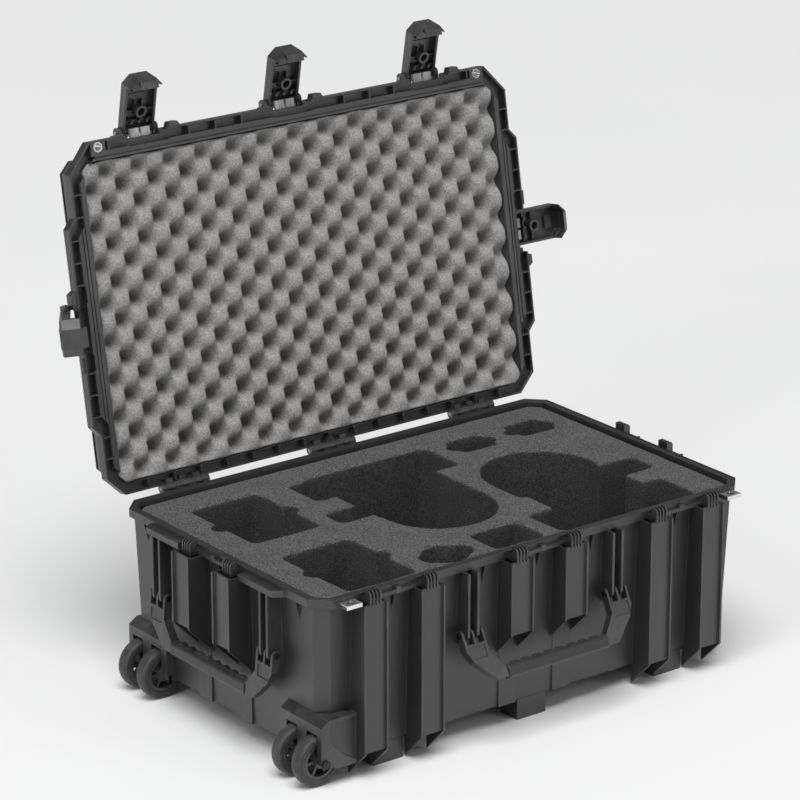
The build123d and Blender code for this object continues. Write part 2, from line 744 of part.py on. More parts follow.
with BuildPart() as latch_lever:
    lever_plane = Plane.XZ.offset(-latch_front)
    with BuildSketch(lever_plane) as lever_face:
        lever_outline(0)
    extrude(lever_face.sketch, amount=-(wall_edge - latch_front))
    chamfer(latch_lever.faces().sort_by(Axis.Y)[0].edges().sort_by(Axis.Z)[:5], length=2.0)
    with BuildSketch(Plane.XZ.offset(-latch_front - latch_plate)) as lever_inside:
        lever_outline(latch_wall)
    extrude(lever_inside.sketch, amount=-latch_width, mode=Mode.SUBTRACT)
    # the walls stop short of the pivot end and are rounded about the pin
    block(
        -latch_width,
        latch_width,
        latch_front + latch_plate,
        60,
        lever_top - latch_wall,
        60,
        Mode.SUBTRACT,
    )
    side_cut = [(wall_edge + 1, lever_top + 1), (0, lever_top + 1), (wall_edge + 1, 0)]
    side_profile(side_cut, 0, 2 * latch_width, Mode.SUBTRACT)
    # hood round the free end
    with BuildSketch(Plane.XZ.offset(-wall_edge + 0.5)) as hood:
        lever_outline(0)
    with BuildSketch(Plane.XZ.offset(-wall_edge + 0.5)) as hood_inside:
        lever_outline(latch_wall - 1)
    extrude(hood.sketch - hood_inside.sketch, amount=-hood_depth)
    block(-latch_width, latch_width, wall_edge, 60, free_end + lever_corner + 2, 20, Mode.SUBTRACT)
    side_profile(
        [(wall_edge, free_end + 15), (60, free_end + 2), (60, free_end + 30), (wall_edge, free_end + 30)],
        0,
        2 * latch_width,
        Mode.SUBTRACT,
    )
    # hooked lip along the middle of the hood
    lip = [
        (wall_edge + hood_depth - 4, free_end),
        (wall_edge + hood_depth - 4, free_end + 4),
        (wall_edge + hook_depth - 1, free_end + lip_height),
        (wall_edge + hook_depth + 2, free_end + lip_height),
        (wall_edge + hood_depth + 2, free_end + 2),
        (wall_edge + hood_depth - 1, free_end),
    ]
    side_profile(lip, 0, latch_width - 2 * lever_corner)
    # barrel on the pin, and a cross rib with three hooks
    bar_along_x(0, 0, 5.5, -latch_width / 2, latch_width / 2)
    block(-latch_width / 2 + 1, latch_width / 2 - 1, latch_front + 2, 3, -17, -14)
    for hook in (-13, 0, 13):
        side_profile([(latch_front + 2, -20), (8, -17), (8, -12.6), (latch_front + 2, -12.6)], hook, 4)
    # boss with radial webs
    with Locations(Pos(0, latch_front + 10, boss_z) * Rot(90, 0, 0)):
        Cylinder(9, 17)
    for side in (-1, 1):
        low = boss_z - 1
        high = boss_z + 1
        web = [(latch_front + 2, low), (3, low), (3, high), (latch_front + 2, high)]
        side_profile(web, side * 16, 19)
        block(side * 6 - 1, side * 6 + 1, latch_front + 2, 2, boss_z - 14, boss_z)
    block(
        -window_half,
        window_half,
        latch_front - 5,
        latch_front + 6,
        window_low,
        window_high,
        Mode.SUBTRACT,
    )
    with Locations(Pos(0, 0, boss_z) * Rot(90, 0, 0)):
        Cylinder(5.5, 30, align=(Align.CENTER, Align.CENTER, Align.MAX), mode=Mode.SUBTRACT)
        Cylinder(2.6, 60, mode=Mode.SUBTRACT)
    bar_along_x(0, 0, pin_radius + pin_clearance, -latch_width, latch_width, Mode.SUBTRACT)

with BuildPart() as latch_button:
    inside = window_half - slide_clearance
    block(
        -inside,
        inside,
        latch_front - 1.2,
        latch_front + 3,
        window_low + slide_clearance,
        window_high - slide_clearance,
    )
    block(-inside + 4, inside - 4, latch_front + 3, latch_front + 8, window_low + 4, window_high - 4)

# wear pads that the lid holds under the lever, just below its barrel
pad_front = -3.4
pad_low = -11.5
pad_high = -6.2
with BuildPart() as latch_pads:
    for side in (-1, 1):
        block(side * 9 - 7, side * 9 + 7, pad_front, bridge_in, pad_low, pad_high)

with BuildPart() as latch_pin:
    bar_along_x(0, 0, pin_radius, -ear_centre - 4.5, ear_centre + 4.5)

# ------------------------------------------------------- carrying handle, hanging, pivot line at the origin
prong_width = 3.6
prong_inner = prong_width / 2
prong_gap = (rail_gap + rail_width) / 2 + 6.8
prong_end = prong_gap + prong_width
slot_depth = 15.0
bar_top = -(handle_drop - 15.0)
core_half = 4.5

with BuildPart() as carry_handle:
    reach = rail_offset + prong_end
    inner = rail_offset - prong_end
    with BuildSketch(Plane.XZ.offset(-handle_thickness / 2)):
        with BuildLine():
            Polyline(
                (inner, 8),
                (reach, 8),
                (reach, -24),
                (reach - 8, -40),
                (reach - 8 - handle_drop + 40, -handle_drop),
                (-reach + 8 + handle_drop - 40, -handle_drop),
                (-reach + 8, -40),
                (-reach, -24),
                (-reach, 8),
                (-inner, 8),
                (-inner, -30),
                (-grip_length / 2, bar_top),
                (grip_length / 2, bar_top),
                (inner, -30),
                close=True,
            )
        make_face()
    extrude(amount=handle_thickness)
    # the prongs are rounded about the pivot line
    for side in (-1, 1):
        x = side * rail_offset
        block(x - prong_end - 1, x + prong_end + 1, -20, 20, 0, 30, Mode.SUBTRACT)
        bar_along_x(0, 0, handle_thickness / 2, x - prong_end, x + prong_end)
        for slot in (-1, 1):
            gap = x + slot * (prong_inner + prong_gap) / 2
            width = (prong_gap - prong_inner) / 2
            block(gap - width, gap + width, -20, 20, -slot_depth, 30, Mode.SUBTRACT)
        block(
            x - prong_end + 5,
            x + prong_end - 5,
            -20,
            -handle_thickness / 2 + 1.2,
            -36,
            -slot_depth - 4,
            Mode.SUBTRACT,
        )
        bar_along_x(0, 0, pin_radius + pin_clearance, x - 30, x + 30, Mode.SUBTRACT)
    # waist under the grip
    for face in (-1, 1):
        block(
            -grip_length / 2,
            grip_length / 2,
            face * (core_half + 5) - 5,
            face * (core_half + 5) + 5,
            -handle_drop - 2,
            bar_top + 2,
            Mode.SUBTRACT,
        )

bar_middle = (bar_top - handle_drop) / 2
with BuildPart() as carry_grip:
    with BuildSketch(Plane.YZ.offset(-grip_length / 2 + slide_clearance)):
        with Locations((0, bar_middle)):
            RectangleRounded(handle_thickness + 4, grip_height, 5)
    extrude(amount=grip_length - 2 * slide_clearance)
    with GridLocations(notch_pitch, 1, grip_notches, 1):
        with Locations((0, 0, bar_middle - grip_height / 2)):
            Box(3.0, 40, 3.0, mode=Mode.SUBTRACT)
    for bump in range(finger_bumps):
        bump_x = (bump - (finger_bumps - 1) / 2) * bump_pitch
        with Locations(Pos(bump_x, 1.5, bar_middle + grip_height / 2 - 5.5) * Rot(90, 0, 0)):
            Cylinder(bump_radius, 9.0)
    with Locations((0, 0, bar_middle)):
        Box(grip_length, 2 * core_half + 0.4, handle_drop + bar_top + 0.4, mode=Mode.SUBTRACT)

with BuildPart() as handle_pins:
    for side in (-1, 1):
        x = side * rail_offset
        bar_along_x(0, 0, pin_radius, x - prong_end - 0.6, x + prong_end + 0.6)
        for end in (-1, 1):
            head = x + end * (prong_end + 1.2)
            bar_along_x(0, 0, pin_radius + 1.6, head - 0.6, head + 0.6)

# ---------------------------------------------------------------- wheels, in the middle of their own axle
hub_radius = 25.0
with BuildPart() as wheel_hub:
    with Locations(Rot(90, 0, 0)):
        Cylinder(9.0, wheel_width + 1.4)
        Cylinder(hub_radius, wheel_width - 3)
        Cylinder(hub_radius - 4, wheel_width, mode=Mode.SUBTRACT)
        Cylinder(9.0, wheel_width + 1.4)
    for spoke in range(6):
        with Locations(Rot(0, spoke * 60, 0) * Pos((hub_radius + 3) / 2, 0, 0)):
            Box(hub_radius - 6, wheel_width - 8, 4.0)
    with Locations(Rot(90, 0, 0)):
        Cylinder(axle_radius + pin_clearance, 60, mode=Mode.SUBTRACT)

with BuildPart() as wheel_tyre:
    with BuildSketch(Plane.XY):
        with Locations(((wheel_radius + hub_radius) / 2, 0)):
            RectangleRounded(wheel_radius - hub_radius, wheel_width, 4.2)
    revolve(axis=Axis.Y)

# ---------------------------------------------------------------- wheel housings
arch_radius = wheel_radius + 4.0
slot_half = wheel_width / 2 + 1.2
housing_bottom = 25.5
panel_depth = 2.4


def wheel_housing(middle, out):
    """A housing around one pair of wheels; out is the side that faces outwards."""
    with BuildPart() as housing:
        y_out = middle + out * housing_out
        y_in = middle - out * housing_in
        low = min(y_out, y_in)
        high = max(y_out, y_in)
        back = housing_inner_x - cheek_length
        block(housing_face_x, back, low, high, housing_bottom, housing_height)
        if out < 0:
            block(back, housing_inner_x, y_out, -tub_y - 0.6, housing_bottom, housing_height)
        # the top falls away to the outside
        side = Plane.XZ.offset(-high - 5)
        with BuildSketch(side) as slope:
            with BuildLine():
                Polyline(
                    (housing_face_x - 5, housing_height - 12),
                    (-wall_at(tub_x, housing_height), housing_height),
                    (-wall_at(tub_x, housing_height), housing_height + 5),
                    (housing_face_x - 5, housing_height + 5),
                    close=True,
                )
            make_face()
        extrude(slope.sketch, amount=high - low + 10, mode=Mode.SUBTRACT)
        # the foot of the outside corner is cut away
        with BuildSketch(side) as toe:
            with BuildLine():
                Polyline(
                    (housing_face_x - 1, 36),
                    (housing_face_x + 28, housing_bottom),
                    (housing_face_x + 28, housing_bottom - 5),
                    (housing_face_x - 1, housing_bottom - 5),
                    close=True,
                )
            make_face()
        extrude(toe.sketch, amount=high - low + 10, mode=Mode.SUBTRACT)
        with BuildSketch(Plane.XZ.offset(-y_out + out * panel_depth)) as panel:
            with BuildLine():
                Polyline(
                    (housing_face_x + 16, housing_height - 6),
                    (housing_face_x + 18, 62),
                    (housing_face_x + 39, 42),
                    (housing_inner_x - 3, 32),
                    (housing_inner_x - 3, housing_height - 6),
                    close=True,
                )
            make_face()
        extrude(panel.sketch, amount=-out * 10, mode=Mode.SUBTRACT)
        for place in (-1, 1):
            y = middle + place * wheel_pitch / 2
            with Locations(Pos(axle_x, y, axle_z) * Rot(90, 0, 0)):
                Cylinder(arch_radius, 2 * slot_half, mode=Mode.SUBTRACT)
            block(
                housing_face_x - 10,
                axle_x,
                y - slot_half,
                y + slot_half,
                -10,
                axle_z + arch_radius,
                Mode.SUBTRACT,
            )
            block(
                housing_face_x - 10,
                axle_x + arch_radius,
                y - slot_half,
                y + slot_half,
                -10,
                axle_z,
                Mode.SUBTRACT,
            )
        with Locations(Pos(axle_x, middle, axle_z) * Rot(90, 0, 0)):
            Cylinder(axle_radius, 200, mode=Mode.SUBTRACT)
    return housing


front_housing = wheel_housing(front_wheels_y, -1)
back_housing = wheel_housing(back_wheels_y, 1)

axle_length = 2 * housing_out
with BuildPart() as axle:
    with Locations(Rot(90, 0, 0)):
        Cylinder(axle_radius, axle_length)
    with Locations(Pos(0, -axle_length / 2, 0) * Rot(90, 0, 0)):
        Cylinder(6.4, 2.6, align=(Align.CENTER, Align.CENTER, Align.MIN))

# ---------------------------------------------------------------- pull handle under the case
guide_end = tub_x - 12.0
guide_length = 84.0
tube_end = tub_x + 4.0
tube_start = tube_end - tube_length
inner_guide = tube_start - 4.5      # the inner guides hold the first 25 mm of the tubes
inner_guide_length = 30.0

with BuildPart() as pull_tubes:
    tube_middle = (tube_start + tube_end) / 2
    with Locations((tube_middle, tube_y[0], tube_z), (tube_middle, tube_y[1], tube_z)):
        Box(tube_length, 2 * tube_radius, 2 * tube_radius)
    fillet(pull_tubes.edges().filter_by(Axis.X), radius=3.0)

with BuildPart() as tube_guides:
    for y in tube_y:
        block(guide_end - guide_length, guide_end, y - 12, y + 12, 4, floor_gap)
        block(inner_guide, inner_guide + inner_guide_length, y - 12, y + 12, 4, floor_gap)
    clear = tube_radius + pin_clearance
    for y in tube_y:
        low = tube_z - clear
        block(inner_guide - 1, guide_end + 1, y - clear, y + clear, low, low + 2 * clear, Mode.SUBTRACT)

with BuildPart() as pull_grip:
    block(tube_end, tube_end + 24, -tube_pitch / 2 - 14, tube_pitch / 2 + 14, 5, 25)
    fillet(pull_grip.edges().filter_by(Axis.Y), radius=6.0)
    block(tube_end - 5, tube_end + 12, -48, 48, 0, 40, Mode.SUBTRACT)

# ---------------------------------------------------------------- everything in its resting place
lid_open = Pos(0, hinge_y, hinge_z) * Rot(-lid_open_angle, 0, 0) * Pos(0, -hinge_y, -hinge_z)
finished = {}


def place(name, solid, location=Pos(0, 0, 0)):
    """Keep one finished piece, in the place where it rests."""
    finished[name] = location * solid


place("base_shell", base_shell.part)
place("gasket", gasket.part)
place("base_foam", base_foam.part)
place("foam_floor_pad", floor_pad.part)
place("padlock_plate_left", padlock_plate.part, Pos(-plate_x, 0, 0))
place("padlock_plate_right", padlock_plate.part, Pos(plate_x, 0, 0))
place("wheel_housing_front", front_housing.part)
place("wheel_housing_back", back_housing.part)
place("lid_shell", lid_shell.part, lid_open)
place("lid_foam", lid_foam.part, lid_open)
place("lid_eyelet_left", eyelet.part, lid_open * Pos(-plate_x, 0, 0))
place("lid_eyelet_right", eyelet.part, lid_open * Pos(plate_x, 0, 0))
for number, station in enumerate((-hinge_spacing, 0, hinge_spacing), start=1):
    place("hinge_pin_" + str(number), hinge_pin.part, Pos(station, 0, 0))

latch_stations = {
    "front_left": (Pos(-latch_spacing, pivot_front_y, latch_pivot_z), front_latch_open),
    "front_middle": (Pos(0, pivot_front_y, latch_pivot_z), front_latch_open),
    "front_right": (Pos(latch_spacing, pivot_front_y, latch_pivot_z), front_latch_open),
    "left_end": (Pos(-tub_x - latch_pivot_out, 0, latch_pivot_z) * Rot(0, 0, -90), left_latch_open),
    "right_end": (Pos(tub_x + latch_pivot_out, 0, latch_pivot_z) * Rot(0, 0, 90), right_latch_open),
}
for name, (station, opened) in latch_stations.items():
    turned = lid_open * station * Rot(-opened, 0, 0)
    place("latch_lever_" + name, latch_lever.part, turned)
    place("latch_button_" + name, latch_button.part, turned)
    place("latch_pads_" + name, latch_pads.part, lid_open * station)
    place("latch_pin_" + name, latch_pin.part, lid_open * station)

handle_stations = {
    "front": (Pos(0, -tub_y - rail_reach + pivot_radius, handle_pivot_height), front_handle_tilt),
    "left_end": (
        Pos(-tub_x - rail_reach + pivot_radius, 0, handle_pivot_height) * Rot(0, 0, -90),
        side_handle_tilt,
    ),
}
for name, (station, tilt) in handle_stations.items():
    place("carry_handle_" + name, carry_handle.part, station * Rot(-tilt, 0, 0))
    place("carry_grip_" + name, carry_grip.part, station * Rot(-tilt, 0, 0))
    place("handle_pins_" + name, handle_pins.part, station)

for name, middle in (("front", front_wheels_y), ("back", back_wheels_y)):
    turn = 0 if name == "front" else 180
    place("axle_" + name, axle.part, Pos(axle_x, middle, axle_z) * Rot(0, 0, turn))
    for number, side in enumerate((-1, 1), start=1):
        spot = Pos(axle_x, middle + side * wheel_pitch / 2, axle_z)
        place("wheel_hub_" + name + "_" + str(number), wheel_hub.part, spot)
        place("wheel_tyre_" + name + "_" + str(number), wheel_tyre.part, spot)

place("pull_tubes", pull_tubes.part)
place("pull_guides", tube_guides.part)
place("pull_grip", pull_grip.part)

boxes = [solid.bounding_box() for solid in finished.values()]
middle_x = (min(box.min.X for box in boxes) + max(box.max.X for box in boxes)) / 2
middle_y = (min(box.min.Y for box in boxes) + max(box.max.Y for box in boxes)) / 2
floor_z = min(box.min.Z for box in boxes)
origin_shift = Pos(-middle_x, -middle_y, -floor_z)
print("moved by", -middle_x, -middle_y, -floor_z)
for name, solid in finished.items():
    piece = origin_shift * solid
    piece.label = name
    export_step(piece, "parts/" + name + ".step")
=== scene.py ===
# %% [markdown]
# # A wheeled equipment case, open, with its foam
#
# The shape of the hard parts comes from a CAD model that is already in its
# place, in metres.  This lesson gives those parts their moulded finish, and
# builds the soft parts that CAD can't draw well: the egg-crate foam in the lid,
# the cut foam in the base and the soft grips.

# %% Load the CAD frame
import json
import math

import bmesh
import bpy
import numpy as np
from mathutils import Matrix, Vector


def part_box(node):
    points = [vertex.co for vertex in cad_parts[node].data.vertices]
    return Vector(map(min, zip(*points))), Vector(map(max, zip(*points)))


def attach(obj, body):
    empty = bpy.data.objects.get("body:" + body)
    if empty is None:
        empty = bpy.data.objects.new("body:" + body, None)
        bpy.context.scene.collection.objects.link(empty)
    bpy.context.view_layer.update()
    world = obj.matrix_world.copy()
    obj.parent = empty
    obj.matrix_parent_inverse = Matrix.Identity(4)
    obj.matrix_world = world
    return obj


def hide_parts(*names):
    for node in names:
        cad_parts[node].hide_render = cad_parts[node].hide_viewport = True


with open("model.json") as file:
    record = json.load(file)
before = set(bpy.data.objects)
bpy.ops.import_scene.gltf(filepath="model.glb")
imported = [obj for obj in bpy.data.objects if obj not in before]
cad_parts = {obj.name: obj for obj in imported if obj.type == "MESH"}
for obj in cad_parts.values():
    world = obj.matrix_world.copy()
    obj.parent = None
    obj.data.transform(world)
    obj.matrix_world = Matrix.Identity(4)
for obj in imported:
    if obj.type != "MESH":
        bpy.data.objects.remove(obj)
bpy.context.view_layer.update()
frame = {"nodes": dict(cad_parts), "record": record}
nodes = frame["nodes"]
joints = {joint["name"]: joint for joint in frame["record"]["behaviour"]["joints"]}

# %% [markdown]
# ## The camera
#
# A long lens from far away keeps the edges of a box nearly parallel, which is
# how products are usually shown.  The camera looks down from the left front
# corner.  It could be placed with a Track To constraint, but a rotation made
# from the view direction is exact and needs no helper object.

# %% Camera
azimuth = math.radians(-37.425)
elevation = math.radians(19.342)
camera_offset = (-3.1320, -4.0109)
camera_height = 2.1881
backwards = Vector(
    (
        math.sin(azimuth) * math.cos(elevation),
        -math.cos(azimuth) * math.cos(elevation),
        math.sin(elevation),
    )
)
lens_data = bpy.data.cameras.new("product_camera")
lens_data.lens = 174.7
lens_data.sensor_width = 36.0
lens_data.clip_end = 100.0
camera = bpy.data.objects.new("product_camera", lens_data)
bpy.context.scene.collection.objects.link(camera)
seal_low, seal_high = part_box("gasket")
case_x = (seal_low[0] + seal_high[0]) / 2
case_y = (seal_low[1] + seal_high[1]) / 2
camera.location = Vector((case_x + camera_offset[0], case_y + camera_offset[1], camera_height))
camera.rotation_mode = "QUATERNION"
camera.rotation_quaternion = backwards.to_track_quat("Z", "Y")
bpy.context.scene.camera = camera
print("case centre", round(case_x, 4), round(case_y, 4))

# %% [markdown]
# ## Small tools for node materials
#
# A finish is a chain of shader nodes.  These helpers add one node and wire it,
# so each finish below reads as a short list of what the real surface has:
# colour, gloss, grain and wear.  Everything is worked out from the position in
# the object, so no picture files are needed.


# %% Node helpers
class Finish:
    """One material and its node tree, with short calls that add wired nodes."""

    def __init__(self, name):
        self.material = bpy.data.materials.new(name)
        self.material.use_nodes = True
        self.tree = self.material.node_tree
        self.shader = self.tree.nodes["Principled BSDF"]
        self.place = self.tree.nodes.new("ShaderNodeTexCoord").outputs["Object"]

    def link(self, value, socket):
        if hasattr(value, "is_output"):
            self.tree.links.new(value, socket)
        else:
            socket.default_value = value

    def noise(self, scale, detail=3.0, rough=0.55, place=None):
        """Cloudy noise; scale is in cells to the metre."""
        node = self.tree.nodes.new("ShaderNodeTexNoise")
        self.link(place or self.place, node.inputs["Vector"])
        node.inputs["Scale"].default_value = scale
        node.inputs["Detail"].default_value = detail
        node.inputs["Roughness"].default_value = rough
        return node.outputs["Fac"]

    def cells(self, scale):
        """Distance to the middle of the nearest cell of a random net."""
        node = self.tree.nodes.new("ShaderNodeTexVoronoi")
        self.link(self.place, node.inputs["Vector"])
        node.inputs["Scale"].default_value = scale
        node.inputs["Detail"].default_value = 3.0
        node.inputs["Roughness"].default_value = 0.55
        return node.outputs["Distance"]

    def stretched(self, x, y, z):
        """The place in the object, scaled by its own amount along each axis."""
        node = self.tree.nodes.new("ShaderNodeMapping")
        self.link(self.place, node.inputs["Vector"])
        node.inputs["Scale"].default_value = (x, y, z)
        return node.outputs["Vector"]

    def between(self, value, low, high, to_low=0.0, to_high=1.0):
        """Map low..high to to_low..to_high and hold it there outside."""
        node = self.tree.nodes.new("ShaderNodeMapRange")
        self.link(value, node.inputs["Value"])
        node.inputs["From Min"].default_value = low
        node.inputs["From Max"].default_value = high
        node.inputs["To Min"].default_value = to_low
        node.inputs["To Max"].default_value = to_high
        return node.outputs["Result"]

    def sum(self, kind, a, b):
        """One Math node: kind is ADD or MULTIPLY."""
        node = self.tree.nodes.new("ShaderNodeMath")
        node.operation = kind
        self.link(a, node.inputs[0])
        self.link(b, node.inputs[1])
        return node.outputs["Value"]

    def mix(self, factor, a, b):
        node = self.tree.nodes.new("ShaderNodeMix")
        node.data_type = "RGBA"
        self.link(factor, node.inputs["Factor"])
        self.link(a, node.inputs["A"])
        self.link(b, node.inputs["B"])
        return node.outputs["Result"]

    def edge_round(self, radius):
        """A normal that rounds the edges by radius in the shading."""
        node = self.tree.nodes.new("ShaderNodeBevel")
        node.samples = 4
        node.inputs["Radius"].default_value = radius
        return node.outputs["Normal"]

    def edge_wear(self, low, high):
        """1 on outside edges and 0 on flat faces."""
        node = self.tree.nodes.new("ShaderNodeNewGeometry")
        return self.between(node.outputs["Pointiness"], low, high)

    def painted_shade_on_walls(self, amount):
        """Painted shade: amount on upright faces and 0 on faces that look up."""
        facing = self.tree.nodes.new("ShaderNodeSeparateXYZ")
        self.link(self.place.node.outputs["Normal"], facing.inputs["Vector"])
        return self.between(facing.outputs["Z"], 0.75, 0.35, 0.0, amount)

    def bump(self, height, strength, distance, under=None):
        """Relief of the given height, laid over another normal."""
        node = self.tree.nodes.new("ShaderNodeBump")
        self.link(height, node.inputs["Height"])
        node.inputs["Strength"].default_value = strength
        node.inputs["Distance"].default_value = distance
        if under is not None:
            self.link(under, node.inputs["Normal"])
        self.link(node.outputs["Normal"], self.shader.inputs["Normal"])

    def set(self, **values):
        """Set or wire inputs of the shader; an underscore stands for a blank."""
        for name, value in values.items():
            self.link(value, self.shader.inputs[name.replace("_", " ")])


def grey(value, warm=0.0):
    """A grey, a touch warmer or cooler."""
    return (value * (1 + warm), value, value * (1 - warm), 1.0)


def times(colour, factor):
    """A colour made lighter or darker, up to white."""
    return tuple(min(1.0, part * factor) for part in colour[:3]) + (1.0,)


# %% [markdown]
# ## The moulded shell
#
# The case is black polypropylene, moulded in a tool with a fine spark-eroded
# grain.  It isn't glossy: broad soft highlights run along the ribs, the grain
# breaks them up, and handling leaves slightly smoother patches and greyer
# edges.  The plastic itself is nearly black, so most of the light that comes off
# it is reflected, which is why its specular level is set high.  Two scales of
# noise make the grain, a large one moves the gloss, and a Bevel node rounds the
# sharp CAD edges in the shading, where a real moulding has a radius of about a
# millimetre.


# %% Moulded plastic
def moulded(name, value, rough, edge=0.0012, grain=2600.0, relief=0.22):
    finish = Finish(name)
    fine = finish.noise(grain, 2.0)
    pebble = finish.cells(grain)
    patches = finish.noise(9.0, 4.0, 0.6)
    scuffs = finish.noise(60.0, 6.0, 0.7, finish.stretched(1.0, 1.0, 0.25))
    height = finish.sum("ADD", fine, pebble)
    tint = finish.mix(finish.between(patches, 0.35, 0.7), grey(value, -0.01), grey(value * 1.35, -0.02))
    worn = finish.sum("MULTIPLY", finish.edge_wear(0.53, 0.62), finish.between(scuffs, 0.42, 0.65))
    dull = finish.between(patches, 0.3, 0.75, rough - 0.05, rough + 0.06)
    rubbed = finish.between(scuffs, 0.5, 0.75, 0.0, -0.06)
    finish.set(
        Base_Color=finish.mix(finish.sum("MULTIPLY", worn, 0.55), tint, grey(value * 3.2 + 0.02)),
        Roughness=finish.sum("ADD", dull, rubbed),
        IOR=1.5,
        Specular_IOR_Level=0.85,
    )
    finish.bump(height, relief, 0.0003, finish.edge_round(edge))
    return finish.material


shell_black = moulded("shell_black", 0.016, 0.38)
latch_black = moulded("latch_black", 0.020, 0.34, edge=0.0008, grain=3400.0, relief=0.14)
housing_black = moulded("housing_black", 0.016, 0.40, edge=0.0010)
hub_black = moulded("hub_black", 0.018, 0.36, edge=0.0006, relief=0.12)
pad_grey = moulded("pad_grey", 0.20, 0.45, edge=0.0006, relief=0.10)
print("moulded finishes", [m.name for m in bpy.data.materials if m.use_nodes])

# %% [markdown]
# ## Metal
#
# The hinge and latch pins are steel, the axles and the pins of the handles are
# blackened, and the padlock plates and eyelets are plated bright.  Drawn and
# turned metal has fine lines in one direction, so a noise that is squashed along
# one axis moves the roughness and the bump.


# %% Metal finishes
def plated(name, value, rough, lines, warm=0.0):
    finish = Finish(name)
    drawn = finish.noise(900.0, 3.0, 0.6, finish.stretched(*lines))
    smudge = finish.noise(35.0, 4.0)
    lined = finish.between(drawn, 0.3, 0.7, rough - 0.05, rough + 0.07)
    touched = finish.between(smudge, 0.3, 0.8, 0.0, 0.08)
    smudged = finish.between(smudge, 0.4, 0.75)
    finish.set(
        Base_Color=finish.mix(smudged, grey(value, warm), grey(value * 0.82, warm)),
        Metallic=1.0,
        Roughness=finish.sum("ADD", lined, touched),
    )
    finish.bump(drawn, 0.08, 0.0002, finish.edge_round(0.0004))
    return finish.material


pin_steel = plated("pin_steel", 0.34, 0.30, (0.06, 1.0, 1.0))
axle_black = plated("axle_black", 0.05, 0.32, (1.0, 0.06, 1.0))
plate_bright = plated("plate_bright", 0.80, 0.16, (1.0, 0.12, 1.0), 0.01)
tube_dark = plated("tube_dark", 0.16, 0.34, (0.03, 1.0, 1.0))
print("finishes so far", len(bpy.data.materials))

# %% [markdown]
# ## Rubber and foam
#
# Four soft materials look different at arm's length.  The tyres are grey
# rubber with a dusty tread.  The grips are black and slightly oily.  The base
# foam is dense and closed-cell: dark, very matt, with pin-prick cells.  The
# lid foam is open-cell: lighter, with a fuzzy surface where light goes a little
# way in.  Sheen gives that velvety edge, and a noise with a hard threshold
# makes the light and dark cells.  The base foam also carries painted shade: its
# upright cut walls are painted darker than its top, as shade from the light
# above would make them, and a node looks at which way the surface faces.


# %% Rubber
def rubber(name, value, rough, dust):
    finish = Finish(name)
    grain = finish.noise(1500.0, 4.0, 0.6)
    dirt = finish.noise(70.0, 5.0, 0.65)
    dusty = grey(value * 2.6 + 0.03, 0.04)
    finish.set(
        Base_Color=finish.mix(finish.between(dirt, 0.45, 0.72, 0.0, dust), grey(value), dusty),
        Roughness=finish.between(dirt, 0.3, 0.7, rough - 0.08, rough + 0.08),
        Sheen_Weight=0.12,
        Sheen_Roughness=0.5,
    )
    finish.bump(grain, 0.25, 0.0004, finish.edge_round(0.0008))
    return finish.material


tyre_grey = rubber("tyre_grey", 0.026, 0.62, 0.45)
grip_black = rubber("grip_black", 0.016, 0.46, 0.18)
seal_black = rubber("seal_black", 0.012, 0.40, 0.10)


# %% Foam
def foam(name, dark, light, scale, relief, sheen, speckle, painted_wall_shade=0.0):
    finish = Finish(name)
    cells = finish.cells(scale)
    crumbs = finish.noise(scale * 0.7, 4.0, 0.75)
    clouds = finish.noise(26.0, 3.0)
    body = finish.mix(finish.between(crumbs, 0.42, 0.58), dark, light)
    sparkle = finish.between(finish.noise(scale * 1.3, 2.0, 0.5), 0.60, 0.70, 0.0, speckle)
    bright = finish.mix(sparkle, body, times(light, 1.9))
    tone = finish.mix(finish.between(clouds, 0.35, 0.7, 0.0, 0.22), bright, dark)
    # Painted shade: upright cut walls are mixed towards a darker copy of the dark colour, as if left in
    # shade by the light from above.
    if painted_wall_shade:
        tone = finish.mix(finish.painted_shade_on_walls(painted_wall_shade), tone, times(dark, 0.35))
    finish.set(
        Base_Color=tone,
        Roughness=finish.between(crumbs, 0.3, 0.7, 0.86, 1.0),
        Specular_IOR_Level=0.25,
        Sheen_Weight=sheen,
        Sheen_Roughness=0.55,
    )
    height = finish.sum("ADD", cells, crumbs)
    finish.bump(height, relief, 0.0012)
    return finish.material


foam_cells = 520.0
# The dense foam gets painted shade on its upright walls.
dense_foam = foam("dense_foam", grey(0.036), grey(0.160, -0.01), foam_cells, 0.9, 0.04, 0.9, painted_wall_shade=0.6)
open_foam = foam("open_foam", grey(0.22, 0.02), grey(0.38, 0.02), foam_cells, 0.6, 0.08, 0.5)
print("finishes in all", len(bpy.data.materials))

# %% [markdown]
# ## Dressing the CAD parts
#
# Each hard CAD part keeps its mesh and gets its finish in its material slot.

# %% Give the CAD parts their finishes
finish_by_start = {
    "base_shell": shell_black,
    "lid_shell": shell_black,
    "wheel_housing": housing_black,
    "latch_lever": latch_black,
    "latch_button": latch_black,
    "latch_pads": pad_grey,
    "latch_pin": pin_steel,
    "hinge_pin": pin_steel,
    "handle_pins": axle_black,
    "axle": axle_black,
    "padlock_plate": plate_bright,
    "lid_eyelet": plate_bright,
    "carry_handle": shell_black,
    "pull_grip": shell_black,
    "pull_guides": housing_black,
    "pull_tubes": tube_dark,
    "wheel_hub": hub_black,
    "gasket": seal_black,
}
dressed = 0
for node_name, node in nodes.items():
    for start, material in finish_by_start.items():
        if node_name.startswith(start):
            if not node.material_slots:
                node.data.materials.append(material)
            for one_slot in node.material_slots:
                one_slot.material = material
            dressed += 1
print("dressed", dressed, "of", len(nodes))


# %% [markdown]
# ## Pieces that start from the CAD shape
#
# Foam and soft rubber have no crisp machined edges.  A copy of the CAD solid is
# rebuilt from small even cells with the Remesh modifier, and a Smooth modifier
# then takes the edges down by about one cell.  The result is an even mesh that
# can also carry a little unevenness, which a CAD mesh with long thin triangles
# can't.


